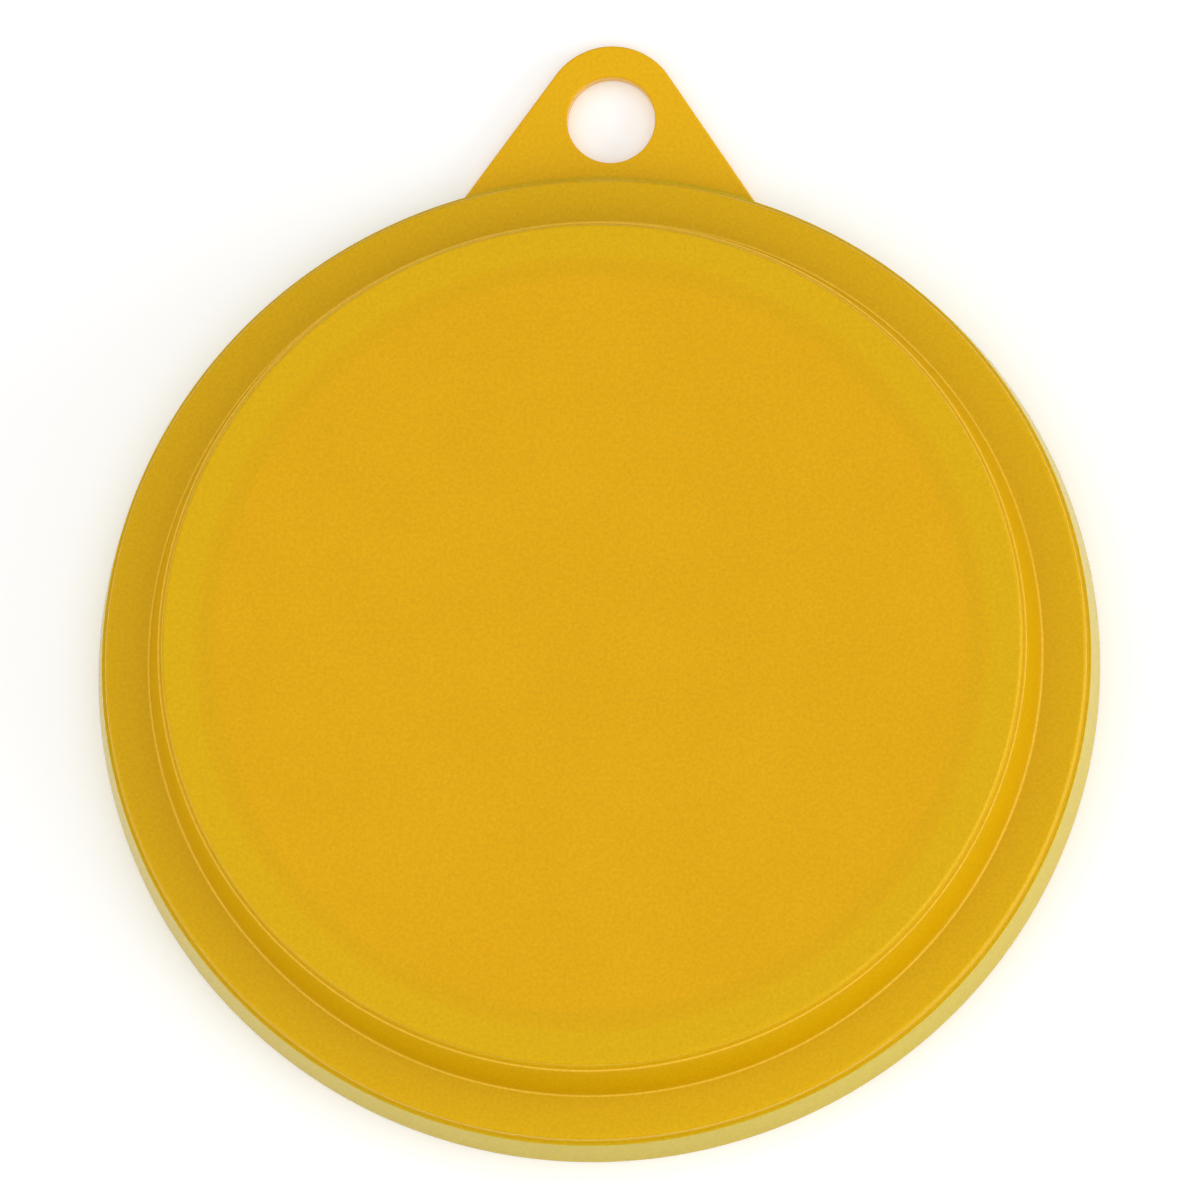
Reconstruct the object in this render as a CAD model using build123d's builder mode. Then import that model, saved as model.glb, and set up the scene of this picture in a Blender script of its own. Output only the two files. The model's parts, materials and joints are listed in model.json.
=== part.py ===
from build123d import *
from math import cos, radians, sin, tan
import os

# Reusable press-on cover for opened food cans, moulded in one piece from soft plastic.
# It lies open side down: the rim stands on Z = 0, the lid's axis is Z, and the hang
# tab points along +Y. All sizes are in millimetres and degrees.

# Cans that the lid fits: the diameter over the rolled seam of the smallest, how much
# wider each of the next two is than the one before, and the height of their seams
small_can_rim = 68.3
middle_can_extra = 7.9
large_can_extra = 11.1
seam_height = 3.0

# Fit of the lid on a can's seam
seat_clearance = 0.10
seam_play = 0.10
snap_bite = 0.25
crest_height = 0.40

# Walls
wall = 0.90
ring_wall = 0.80
lead_in_height = 1.50
skirt_draft = 8.5
step_draft = 12.4
inner_draft = 3.0
ring_draft = 1.0

# Outer edges
edge_radius = 1.0
ledge_width = 0.15

# Hang tab: its length is counted from the rim, and its hole's centre lies nearer to the
# lid than the round tip's centre does, by the offset
tab_length = 12.5
tab_thickness = 1.5
tab_tip_radius = 6.2
tab_side_angle = 34.7
tab_edge_radius = 0.25
hole_diameter = 8.0
hole_offset = 0.75

# Sizes that follow from the ones above
skirt_slope = tan(radians(skirt_draft))
step_slope = tan(radians(step_draft))
inner_slope = tan(radians(inner_draft))
ring_slope = tan(radians(ring_draft))
small_seat = small_can_rim / 2 + seat_clearance
middle_seat = small_seat + middle_can_extra / 2
large_seat = middle_seat + large_can_extra / 2
bead_drop = seam_height + seam_play
bead_rise = seat_clearance + bead_drop * inner_slope + snap_bite
seat_depth = bead_drop + bead_rise + crest_height + bead_rise
panel_rise = seat_depth + lead_in_height
land_height = seat_depth + wall
lid_height = land_height + panel_rise
panel_underside = lid_height - wall


def outer_side(seat, top, height, slope):
    """Draw the outer side over a can seat. Returns where it starts and where it ends.

    From the top face, a rounded edge comes down to a narrow ledge, the witness of the
    joint between two parts of the mould. Below it the wall leans out by its draft.
    """
    ledge_outer = seat + wall
    ledge_inner = ledge_outer - ledge_width
    ledge_level = top - edge_radius
    foot = (ledge_outer + (height - edge_radius) * slope, top - height)
    edge = CenterArc((ledge_inner - edge_radius, ledge_level), edge_radius, 0, 90)
    Polyline((ledge_inner, ledge_level), (ledge_outer, ledge_level), foot)
    return edge @ 1, foot


def seat_side(seat, ceiling):
    """Corners of the inner side of a can seat, from its mouth up to its ceiling.

    The can's seam stands against the upper wall, and the bead snaps in under it.
    """
    crest = seat - seat_clearance - snap_bite
    return [
        (seat + seat_depth * inner_slope, ceiling - seat_depth),
        (crest, ceiling - seat_depth + bead_rise),
        (crest, ceiling - bead_drop - bead_rise),
        (seat + bead_drop * inner_slope, ceiling - bead_drop),
        (seat, ceiling),
    ]


with BuildPart() as lid:
    # Outside of the lid: raised panel, step, land and skirt
    with BuildSketch(Plane.XZ):
        with BuildLine():
            panel_edge, step_foot = outer_side(middle_seat, lid_height, panel_rise, step_slope)
            skirt_edge, rim = outer_side(large_seat, land_height, land_height, skirt_slope)
            Line(step_foot, skirt_edge)
            Polyline(rim, (0, 0), (0, lid_height), panel_edge)
        make_face()
    revolve(axis=Axis.Z)

    # Hang tab, flush with the rim: its straight sides leave the round tip on a tangent
    # and run in to where they pass nearest to the lid's axis, inside the lid
    tab_reach = rim[0] + tab_length
    tip_centre = tab_reach - tab_tip_radius
    side_cos = cos(radians(tab_side_angle))
    side_sin = sin(radians(tab_side_angle))
    tangent = (tab_tip_radius * side_cos, tip_centre + tab_tip_radius * side_sin)
    root_distance = tab_tip_radius + tip_centre * side_sin
    root = (root_distance * side_cos, root_distance * side_sin)
    with BuildSketch(Plane.XY):
        with BuildLine():
            Polyline((-tangent[0], tangent[1]), (-root[0], root[1]), root, tangent)
            ThreePointArc(tangent, (0, tab_reach), (-tangent[0], tangent[1]))
        make_face()
    extrude(amount=tab_thickness)
    tab_top = lid.faces().filter_by(Axis.Z).sort_by(Axis.Y)[-1]
    fillet(tab_top.edges().sort_by(Axis.Y)[-3:], tab_edge_radius)
    with Locations((0, tip_centre - hole_offset, tab_thickness)):
        Hole(hole_diameter / 2)

    # Hollow: the seats of the large and the middle can, one above the other. Under the
    # middle seat its mouth flares, which keeps one wall thickness at the step's foot
    large_side = seat_side(large_seat, seat_depth)
    middle_side = seat_side(middle_seat, panel_underside)
    step_inside = (step_foot[0] - wall, seat_depth)
    with BuildSketch(Plane.XZ):
        with BuildLine():
            Polyline((0, 0), *large_side, step_inside, *middle_side, (0, panel_underside), close=True)
        make_face()
    revolve(axis=Axis.Z, mode=Mode.SUBTRACT)

    # Ring under the panel, the seat of the small can, rooted in the panel's thickness
    small_side = seat_side(small_seat, panel_underside)
    ring_outer = small_seat + ring_wall
    ring_foot = (ring_outer - seat_depth * ring_slope, panel_underside - seat_depth)
    ring_root = panel_underside + wall / 2
    with BuildSketch(Plane.XZ):
        with BuildLine():
            Polyline(
                *small_side,
                (small_seat, ring_root),
                (ring_outer, ring_root),
                (ring_outer, panel_underside),
                ring_foot,
                close=True,
            )
        make_face()
    revolve(axis=Axis.Z)

lid.part.label = "lid"
os.makedirs("parts", exist_ok=True)
export_step(lid.part, "parts/lid.step")
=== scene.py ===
import json
from math import atan2, ceil, cos, pi, radians, sin, tan

import bpy
from mathutils import Matrix, Vector


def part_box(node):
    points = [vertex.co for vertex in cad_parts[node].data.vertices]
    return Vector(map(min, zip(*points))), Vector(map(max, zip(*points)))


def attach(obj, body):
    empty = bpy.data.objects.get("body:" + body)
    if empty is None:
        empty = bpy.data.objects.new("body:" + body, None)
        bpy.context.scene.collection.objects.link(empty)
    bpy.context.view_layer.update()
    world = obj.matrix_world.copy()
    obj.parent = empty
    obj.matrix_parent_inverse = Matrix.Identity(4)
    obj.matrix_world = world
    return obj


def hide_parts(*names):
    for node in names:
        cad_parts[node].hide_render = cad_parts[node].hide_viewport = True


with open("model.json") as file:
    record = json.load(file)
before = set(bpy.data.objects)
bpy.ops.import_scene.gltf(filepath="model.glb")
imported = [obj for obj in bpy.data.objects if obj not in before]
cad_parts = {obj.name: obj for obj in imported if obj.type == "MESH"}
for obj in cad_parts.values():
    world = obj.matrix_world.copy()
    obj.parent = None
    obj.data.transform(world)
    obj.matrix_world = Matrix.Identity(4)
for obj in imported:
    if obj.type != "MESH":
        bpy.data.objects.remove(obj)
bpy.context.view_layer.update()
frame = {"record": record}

mm = 0.001

# Lid: a press-on cover for opened food cans, moulded in one piece from low-density
# polyethylene. It is a thin turned shell with a raised panel, three can seats under it,
# each with a snap bead, and a flat hang tab that leaves the rim.

lid_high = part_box("lid")[1]
mounts = {mount["name"]: mount for mount in frame["record"]["mounts"]}
hang_hole = mounts["hang_hole"]

rim = lid_high.x
lid_height = lid_high.z
tab_reach = lid_high.y

wall = 0.90 * mm
ring_wall = 0.80 * mm
step_slope = tan(radians(12.4))
inner_slope = tan(radians(3.0))
ring_slope = tan(radians(1.0))

ledge_drop = 1.0 * mm
ledge_width = 0.25 * mm
edge_width = 0.18 * mm
edge_radius = 0.35 * mm
foot_radius = 0.25 * mm
corner_radius = 0.35 * mm
worn_radius = 0.12 * mm
ledge_radius = 0.08 * mm
arc_step = radians(12)

tab_thickness = 1.5 * mm
tab_tip_radius = 6.2 * mm
tab_side_angle = radians(34.7)
tab_edge_radius = 0.25 * mm
tab_root_radius = 44.6 * mm
hole_radius = hang_hole["dims"]["r_mm"] * mm
hole_centre = hang_hole["pos_m"][1]
tip_centre = tab_reach - tab_tip_radius
side_distance = tab_tip_radius + tip_centre * sin(tab_side_angle)

snap = 0.35 * mm
crest_height = 0.40 * mm
bead_drop = 3.10 * mm
bead_rise = snap + bead_drop * inner_slope
seat_depth = bead_drop + crest_height + 2 * bead_rise

small_seat = mounts["small_can_seat"]["dims"]["r_mm"] * mm + snap
middle_seat = 38.20 * mm
large_seat = mounts["large_can_seat"]["dims"]["r_mm"] * mm + snap
land_height = seat_depth + wall
underside = lid_height - wall


def outer_side(seat, top, foot):
    """Outer side over a can seat: rounded edge, narrow ledge, and the wall down to its foot."""
    ledge_inner = seat + wall - ledge_width
    return [
        (ledge_inner - edge_width, top, edge_radius),
        (ledge_inner, top - ledge_drop, ledge_radius / 2),
        (seat + wall, top - ledge_drop, ledge_radius),
        foot,
    ]


def seat_side(seat, ceiling):
    """Inner side of a can seat, from its mouth over the snap bead up to the ceiling."""
    crest = seat - snap
    return [
        (seat + seat_depth * inner_slope, ceiling - seat_depth, worn_radius),
        (crest, ceiling - seat_depth + bead_rise, worn_radius),
        (crest, ceiling - bead_drop - bead_rise, worn_radius),
        (seat + bead_drop * inner_slope, ceiling - bead_drop, worn_radius),
        (seat, ceiling, corner_radius),
    ]


def rounded(corners):
    """Outline through corners (radius from the axis, height, rounding), as points.

    A point just beyond each end of an arc keeps the flats flat in smooth shading.
    """
    keep = 0.03 * mm
    points = [Vector(corners[0][:2])]
    for before, corner, after in zip(corners, corners[1:], corners[2:]):
        here = Vector(corner[:2])
        back = Vector(before[:2]) - here
        ahead = Vector(after[:2]) - here
        rounding = corner[2]
        if rounding == 0:
            points.append(here)
            continue
        half = back.angle(ahead) / 2
        reach = rounding / tan(half)
        centre = here + (back.normalized() + ahead.normalized()).normalized() * rounding / sin(half)
        start = here + back.normalized() * reach - centre
        end = here + ahead.normalized() * reach - centre
        turn = (atan2(end.y, end.x) - atan2(start.y, start.x) + pi) % (2 * pi) - pi
        steps = ceil(abs(turn) / arc_step)
        if back.length > reach + 3 * keep:
            points.append(here + back.normalized() * (reach + keep))
        for step in range(steps + 1):
            angle = atan2(start.y, start.x) + turn * step / steps
            points.append(centre + rounding * Vector((cos(angle), sin(angle))))
        if ahead.length > reach + 3 * keep:
            points.append(here + ahead.normalized() * (reach + keep))
    points.append(Vector(corners[-1][:2]))
    return points


step_foot = (
    middle_seat + wall + (lid_height - land_height - ledge_drop) * step_slope,
    land_height,
    foot_radius,
)
ring_outer = small_seat + ring_wall
shell_section = rounded([
    (0, lid_height, 0),
    *outer_side(middle_seat, lid_height, step_foot),
    *outer_side(large_seat, land_height, (rim, 0, worn_radius)),
    *seat_side(large_seat, seat_depth),
    (step_foot[0] - wall, seat_depth, corner_radius),
    *seat_side(middle_seat, underside)[1:],
    (ring_outer, underside, corner_radius),
    (ring_outer - seat_depth * ring_slope, underside - seat_depth, worn_radius),
    *seat_side(small_seat, underside),
    (0, underside, 0),
])


def add(tree, kind, settings=None, **links):
    """Add a node to a tree. Settings go to its properties, and links to its inputs."""
    node = tree.nodes.new(kind)
    for name, value in (settings or {}).items():
        setattr(node, name, value)
    for name, value in links.items():
        key = int(name[1:]) if name[0] == "i" and name[1:].isdigit() else name.replace("_", " ")
        target = node.inputs[key]
        if isinstance(value, bpy.types.NodeSocket):
            tree.links.new(value, target)
        else:
            target.default_value = value
    return node


def srgb(hex_colour):
    """A colour written as sRGB hex, as linear values with full alpha."""
    parts = [int(hex_colour[i : i + 2], 16) / 255 for i in (1, 3, 5)]
    return tuple(c / 12.92 if c <= 0.04045 else ((c + 0.055) / 1.055) ** 2.4 for c in parts) + (1.0,)


# Moulded polyethylene: satin and a little waxy, so light goes a short way in and softens the
# edges, with the fine even mottle of a spark-eroded mould. The mottle is drawn at twice its
# real size, so that it shows. A faint darker ring of shade is painted over the ring wall under
# the thin panel, and the skirt is painted a greener yellow for the white table's light that it
# reflects and lets through its thin wall.
ring_middle = small_seat + ring_wall / 2
ring_blur = 1.5 * mm
skirt_top = land_height - ledge_drop
ledge_line = middle_seat + wall - ledge_radius
foot_line = step_foot[0] + foot_radius / 2
# Width of the painted highlight lines along the ledge and along the step's foot.
highlight_line_width = 0.14 * mm
mottle_size = 0.30 * mm
cloud_size = 9.0 * mm

moulded_polyethylene = bpy.data.materials.new("moulded_polyethylene")
moulded_polyethylene.use_nodes = True
tree = moulded_polyethylene.node_tree
tree.nodes.clear()
place = add(tree, "ShaderNodeTexCoord").outputs["Object"]
height = add(tree, "ShaderNodeSeparateXYZ", Vector=place).outputs["Z"]
level = add(tree, "ShaderNodeVectorMath", {"operation": "MULTIPLY"}, i0=place, i1=(1, 1, 0))
radius = add(tree, "ShaderNodeVectorMath", {"operation": "LENGTH"}, i0=level.outputs[0]).outputs["Value"]

cloud = add(tree, "ShaderNodeTexNoise", Vector=place, Scale=1 / cloud_size, Detail=2.0).outputs[0]
mottle = add(tree, "ShaderNodeTexNoise", Vector=place, Scale=1 / mottle_size, Detail=2.0, Roughness=0.6).outputs[0]
off_ring = add(tree, "ShaderNodeMath", {"operation": "SUBTRACT"}, i0=radius, i1=ring_middle).outputs[0]
ring_distance = add(tree, "ShaderNodeMath", {"operation": "ABSOLUTE"}, i0=off_ring).outputs[0]

# Each zone's colour, laid over the ones before it within soft-edged limits. A limit is
# a measure, where it lets none of the colour through and where it lets all through.
amber = srgb("#DAA100")
for limits, colour in (
    ([(cloud, 0.3, 0.7)], "#DCA302"),
    ([(radius, ring_middle, ring_middle + ring_blur)], "#D6A700"),
    # painted shade: a faint darker ring over the ring wall under the panel
    ([(ring_distance, ring_blur, 0.0), (height, underside, underside + wall / 2)], "#D5A100"),
    # painted shade: the steep step wall a little darker than the flats
    ([(radius, middle_seat + wall - ledge_radius, middle_seat + wall + ledge_radius),
      (radius, step_foot[0] + foot_radius, step_foot[0])], "#D3A200"),
    # painted highlight: a pale line along the ledge's outer corner
    ([(radius, ledge_line - highlight_line_width, ledge_line), (radius, ledge_line + highlight_line_width, ledge_line),
      (height, lid_height - ledge_drop - highlight_line_width, lid_height - ledge_drop)], "#F0C038"),
    # painted highlight: a pale line along the foot of the step wall
    ([(radius, foot_line - highlight_line_width, foot_line), (radius, foot_line + highlight_line_width, foot_line),
      (height, land_height - highlight_line_width, land_height)], "#F0C038"),
    # painted light: the tab beyond the rim lighter, for the white table's light through it
    ([(radius, rim, rim + 0.5 * mm)], "#E2AC04"),
    # painted reflection and light: the skirt a greener yellow for the white table it reflects and lets through
    ([(radius, large_seat + wall / 2, large_seat + wall), (radius, rim + 0.2 * mm, rim),
      (height, skirt_top + ledge_radius, skirt_top - ledge_radius)], "#C7AD10"),
):
    mask = 1.0
    for measure, none_at, all_at in limits:
        limit = add(
            tree, "ShaderNodeMapRange", {"interpolation_type": "SMOOTHSTEP"},
            i0=measure, i1=none_at, i2=all_at, i3=0.0, i4=1.0,
        )
        mask = add(tree, "ShaderNodeMath", {"operation": "MULTIPLY"}, i0=mask, i1=limit.outputs["Result"]).outputs[0]
    amber = add(tree, "ShaderNodeMix", {"data_type": "RGBA"}, i0=mask, i6=amber, i7=srgb(colour)).outputs[2]
brightness = add(tree, "ShaderNodeMapRange", i0=mottle, i1=0.3, i2=0.7, i3=0.93, i4=1.07).outputs["Result"]
mottled = add(tree, "ShaderNodeHueSaturation", Value=brightness, Color=amber).outputs["Color"]
bump = add(tree, "ShaderNodeBump", Height=mottle, Strength=0.3, Distance=0.01 * mm).outputs["Normal"]
shader = add(
    tree, "ShaderNodeBsdfPrincipled",
    Base_Color=mottled, Roughness=0.24, IOR=1.51, Specular_Tint=srgb("#FFF489"), Normal=bump,
    Subsurface_Weight=0.15, Subsurface_Radius=(1.0, 0.5, 0.1), Subsurface_Scale=0.8 * mm,
)
add(tree, "ShaderNodeOutputMaterial", Surface=shader.outputs["BSDF"])

# Every solid in the lid is a section turned round an upright axis. The tab is the hull of
# its tip and of the disc that its sides touch inside the lid, cut back to within the skirt.
past = 1.0 * mm
sections = {
    "shell": shell_section,
    "tip": rounded([
        (0, tab_thickness, 0),
        (tab_tip_radius, tab_thickness, tab_edge_radius),
        (tab_tip_radius, 0, worn_radius),
        (0, 0, 0),
    ]),
    "sides": rounded([
        (0, tab_thickness, 0),
        (side_distance, tab_thickness, tab_edge_radius),
        (side_distance, 0, worn_radius),
        (0, 0, 0),
    ]),
    "root": rounded([
        (0, tab_thickness + past, 0),
        (tab_root_radius, tab_thickness + past, 0),
        (tab_root_radius, -past, 0),
        (0, -past, 0),
    ]),
    "hole": rounded([
        (0, tab_thickness + past, 0),
        (hole_radius + past, tab_thickness + past, 0),
        (hole_radius + past, tab_thickness + past / 5, 0),
        (hole_radius, tab_thickness, tab_edge_radius),
        (hole_radius, 0, worn_radius),
        (hole_radius + past, -past / 5, 0),
        (hole_radius + past, -past, 0),
        (0, -past, 0),
    ]),
}
section_points, section_edges, section_kinds = [], [], []
for kind, outline in enumerate(sections.values()):
    first = len(section_points)
    section_points += [(r, 0, z) for r, z in outline]
    section_edges += [(i, i + 1) for i in range(first, len(section_points) - 1)]
    section_kinds += [kind] * len(outline)
section_mesh = bpy.data.meshes.new("lid_sections")
section_mesh.from_pydata(section_points, section_edges, [])
section_mesh.attributes.new("kind", "INT", "POINT").data.foreach_set("value", section_kinds)

lid_tree = bpy.data.node_groups.new("moulded_lid", "GeometryNodeTree")
for name, kind, value in (
    ("Sections", "NodeSocketGeometry", None),
    ("Steps Round", "NodeSocketInt", 384),
    ("Tab Steps Round", "NodeSocketInt", 160),
    ("Tip Centre", "NodeSocketFloat", tip_centre),
    ("Hole Centre", "NodeSocketFloat", hole_centre),
    ("Weld Distance", "NodeSocketFloat", 0.003 * mm),
    ("Crease Angle", "NodeSocketFloat", radians(32)),
    ("Plastic", "NodeSocketMaterial", moulded_polyethylene),
):
    socket = lid_tree.interface.new_socket(name, in_out="INPUT", socket_type=kind)
    if value is not None:
        socket.default_value = value
lid_tree.interface.new_socket("Lid", in_out="OUTPUT", socket_type="NodeSocketGeometry")
given = add(lid_tree, "NodeGroupInput").outputs


def turned(kind, steps, centre_y=0.0):
    """A section turned round an upright axis, in the lid's tree."""
    marks = add(lid_tree, "GeometryNodeInputNamedAttribute", {"data_type": "INT"}, Name="kind")
    settings = {"data_type": "INT", "operation": "EQUAL"}
    chosen = add(
        lid_tree, "FunctionNodeCompare", settings, i2=marks.outputs["Attribute"], i3=list(sections).index(kind)
    )
    part = add(
        lid_tree, "GeometryNodeSeparateGeometry", Geometry=given["Sections"], Selection=chosen.outputs["Result"]
    )
    laid = add(
        lid_tree, "GeometryNodeTransform",
        Geometry=part.outputs["Selection"], Translation=(-past, 0, 0), Rotation=(radians(90), 0, 0),
    )
    profile = add(lid_tree, "GeometryNodeMeshToCurve", Mesh=laid.outputs["Geometry"])
    path = add(lid_tree, "GeometryNodeCurvePrimitiveCircle", Resolution=steps, Radius=past)
    upright = add(lid_tree, "GeometryNodeSetCurveNormal", {"mode": "Z_UP"}, Curve=path.outputs["Curve"])
    swept = add(
        lid_tree, "GeometryNodeCurveToMesh",
        Curve=upright.outputs["Curve"], Profile_Curve=profile.outputs["Curve"],
    )
    closed = add(
        lid_tree, "GeometryNodeMergeByDistance", Geometry=swept.outputs["Mesh"], Distance=given["Weld Distance"]
    )
    centre = add(lid_tree, "ShaderNodeCombineXYZ", Y=centre_y)
    moved = add(
        lid_tree, "GeometryNodeTransform", Geometry=closed.outputs["Geometry"], Translation=centre.outputs[0]
    )
    return moved.outputs["Geometry"]


ends = add(lid_tree, "GeometryNodeJoinGeometry")
lid_tree.links.new(turned("tip", given["Tab Steps Round"], given["Tip Centre"]), ends.inputs[0])
lid_tree.links.new(turned("sides", given["Steps Round"]), ends.inputs[0])
whole = add(lid_tree, "GeometryNodeConvexHull", Geometry=ends.outputs[0]).outputs[0]
for operation, other in (
    ("DIFFERENCE", turned("root", given["Steps Round"])),
    ("DIFFERENCE", turned("hole", given["Tab Steps Round"], given["Hole Centre"])),
    ("UNION", turned("shell", given["Steps Round"])),
):
    joint = add(lid_tree, "GeometryNodeMeshBoolean", {"operation": operation, "solver": "EXACT"})
    lid_tree.links.new(whole, joint.inputs["Mesh 1" if operation == "DIFFERENCE" else "Mesh 2"])
    lid_tree.links.new(other, joint.inputs["Mesh 2"])
    whole = joint.outputs["Mesh"]
welded = add(lid_tree, "GeometryNodeMergeByDistance", Geometry=whole, Distance=given["Weld Distance"])
bend = add(lid_tree, "GeometryNodeInputMeshEdgeAngle")
settings = {"data_type": "FLOAT", "operation": "GREATER_THAN"}
crease = add(lid_tree, "FunctionNodeCompare", settings, i0=bend.outputs["Unsigned Angle"], i1=given["Crease Angle"])
smooth = add(
    lid_tree, "GeometryNodeSetShadeSmooth", {"domain": "EDGE"},
    Geometry=welded.outputs["Geometry"], Selection=crease.outputs["Result"], Shade_Smooth=False,
)
placed = add(lid_tree, "GeometryNodeRealizeInstances", Geometry=smooth.outputs[0])
finished = add(lid_tree, "GeometryNodeSetMaterial", Geometry=placed.outputs[0], Material=given["Plastic"])
add(lid_tree, "NodeGroupOutput", Lid=finished.outputs[0])

moulding = bpy.data.objects.new("lid_sections", section_mesh)
bpy.context.scene.collection.objects.link(moulding)
turning = moulding.modifiers.new("moulded_lid", "NODES")
turning.node_group = lid_tree
flats = moulding.modifiers.new("flat_faces_stay_flat", "WEIGHTED_NORMAL")
flats.keep_sharp = True
evaluated = moulding.evaluated_get(bpy.context.evaluated_depsgraph_get())
lid_mesh = bpy.data.meshes.new_from_object(evaluated)
lid_mesh.name = "can_lid"
lid_mesh.attributes.remove(lid_mesh.attributes["kind"])
lid = bpy.data.objects.new("can_lid", lid_mesh)
bpy.context.scene.collection.objects.link(lid)
bpy.data.objects.remove(moulding)
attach(lid, "root")
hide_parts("lid")

# Table: a plain white matt board that the lid lies on.
table_mesh = bpy.data.meshes.new("table")
half, drop = 1.5, -0.02 * mm
table_mesh.from_pydata(
    [(-half, -half, drop), (half, -half, drop), (half, half, drop), (-half, half, drop)], [], [(0, 1, 2, 3)],
)
table = bpy.data.objects.new("table", table_mesh)
bpy.context.scene.collection.objects.link(table)
white_board = bpy.data.materials.new("white_board")
white_board.use_nodes = True
tree = white_board.node_tree
tree.nodes.clear()
ray = add(tree, "ShaderNodeLightPath").outputs
mirrored = add(tree, "ShaderNodeMath", i0=ray["Is Glossy Ray"], i1=ray["Is Transmission Ray"]).outputs[0]
seen = add(tree, "ShaderNodeMath", {"use_clamp": True}, i0=ray["Is Camera Ray"], i1=mirrored).outputs[0]
lift = add(tree, "ShaderNodeMath", {"operation": "MULTIPLY"}, i0=seen, i1=0.1).outputs[0]
board = add(
    tree, "ShaderNodeBsdfPrincipled",
    Base_Color=srgb("#FAFAFA"), Roughness=0.9, Specular_IOR_Level=0.2,
    Emission_Color=srgb("#FFFFFF"), Emission_Strength=lift,
)
add(tree, "ShaderNodeOutputMaterial", Surface=board.outputs["BSDF"])
table_mesh.materials.append(white_board)

# Light: a room with a pale ceiling and dark walls, and two wide, low soft boxes beside the
# lid, which draw the bright lines along its rounded edges.
world = bpy.data.worlds.new("room")
bpy.context.scene.world = world
world.use_nodes = True
tree = world.node_tree
tree.nodes.clear()
direction = add(tree, "ShaderNodeTexCoord").outputs["Generated"]
rise = add(tree, "ShaderNodeVectorMath", {"operation": "DOT_PRODUCT"}, i0=direction, i1=(0.04, 0.02, 1.0)).outputs["Value"]
ceiling = add(
    tree, "ShaderNodeMapRange", {"interpolation_type": "SMOOTHSTEP"}, i0=rise, i1=0.1, i2=0.8, i3=0.05, i4=1.05
)
room = add(tree, "ShaderNodeBackground", Color=(1, 1, 1, 1), Strength=ceiling.outputs["Result"])
add(tree, "ShaderNodeOutputWorld", Surface=room.outputs["Background"])


def soft_box(name, azimuth, elevation, width, height, watts):
    """An oblong lamp, a metre from the lid, at a compass angle and a height angle."""
    lamp = bpy.data.lights.new(name, "AREA")
    lamp.shape = "RECTANGLE"
    lamp.size = width
    lamp.size_y = height
    lamp.energy = watts
    holder = bpy.data.objects.new(name, lamp)
    bpy.context.scene.collection.objects.link(holder)
    towards = Vector((cos(azimuth) * cos(elevation), sin(azimuth) * cos(elevation), sin(elevation)))
    holder.matrix_world = Matrix.Translation(towards) @ towards.to_track_quat("Z", "Y").to_matrix().to_4x4()


soft_box("key_lamp", radians(-15), radians(20), 1.2, 0.28, 5.6)
soft_box("fill_lamp", radians(-155), radians(22), 1.0, 0.28, 2.8)

# Camera: nearly overhead, leaning 13 degrees to the front, a long lens from afar.
lean = radians(13.31)
camera_azimuth = radians(-73.65)
tab_turn = radians(1.36)
distance = 1.8056
focal_pixels = 20000
frame_pixels = 1200
lid_axis_pixel = Vector((598.7, 670.1))

back = Vector((sin(lean) * cos(camera_azimuth), sin(lean) * sin(camera_azimuth), cos(lean)))
up = Vector((-sin(tab_turn), cos(tab_turn), 0))
up = (up - up.dot(back) * back).normalized()
right = up.cross(back)
pixel = distance / focal_pixels
aim = (frame_pixels / 2 - lid_axis_pixel.x) * pixel * right + (lid_axis_pixel.y - frame_pixels / 2) * pixel * up
lens = bpy.data.cameras.new("camera")
lens.sensor_width = 36
lens.lens = focal_pixels / frame_pixels * lens.sensor_width
lens.clip_end = 10
camera = bpy.data.objects.new("camera", lens)
bpy.context.scene.collection.objects.link(camera)
turn = Matrix((right, up, back)).transposed().to_4x4()
camera.matrix_world = Matrix.Translation(aim + distance * back) @ turn
bpy.context.scene.camera = camera
bpy.context.scene.view_settings.view_transform = "Standard"
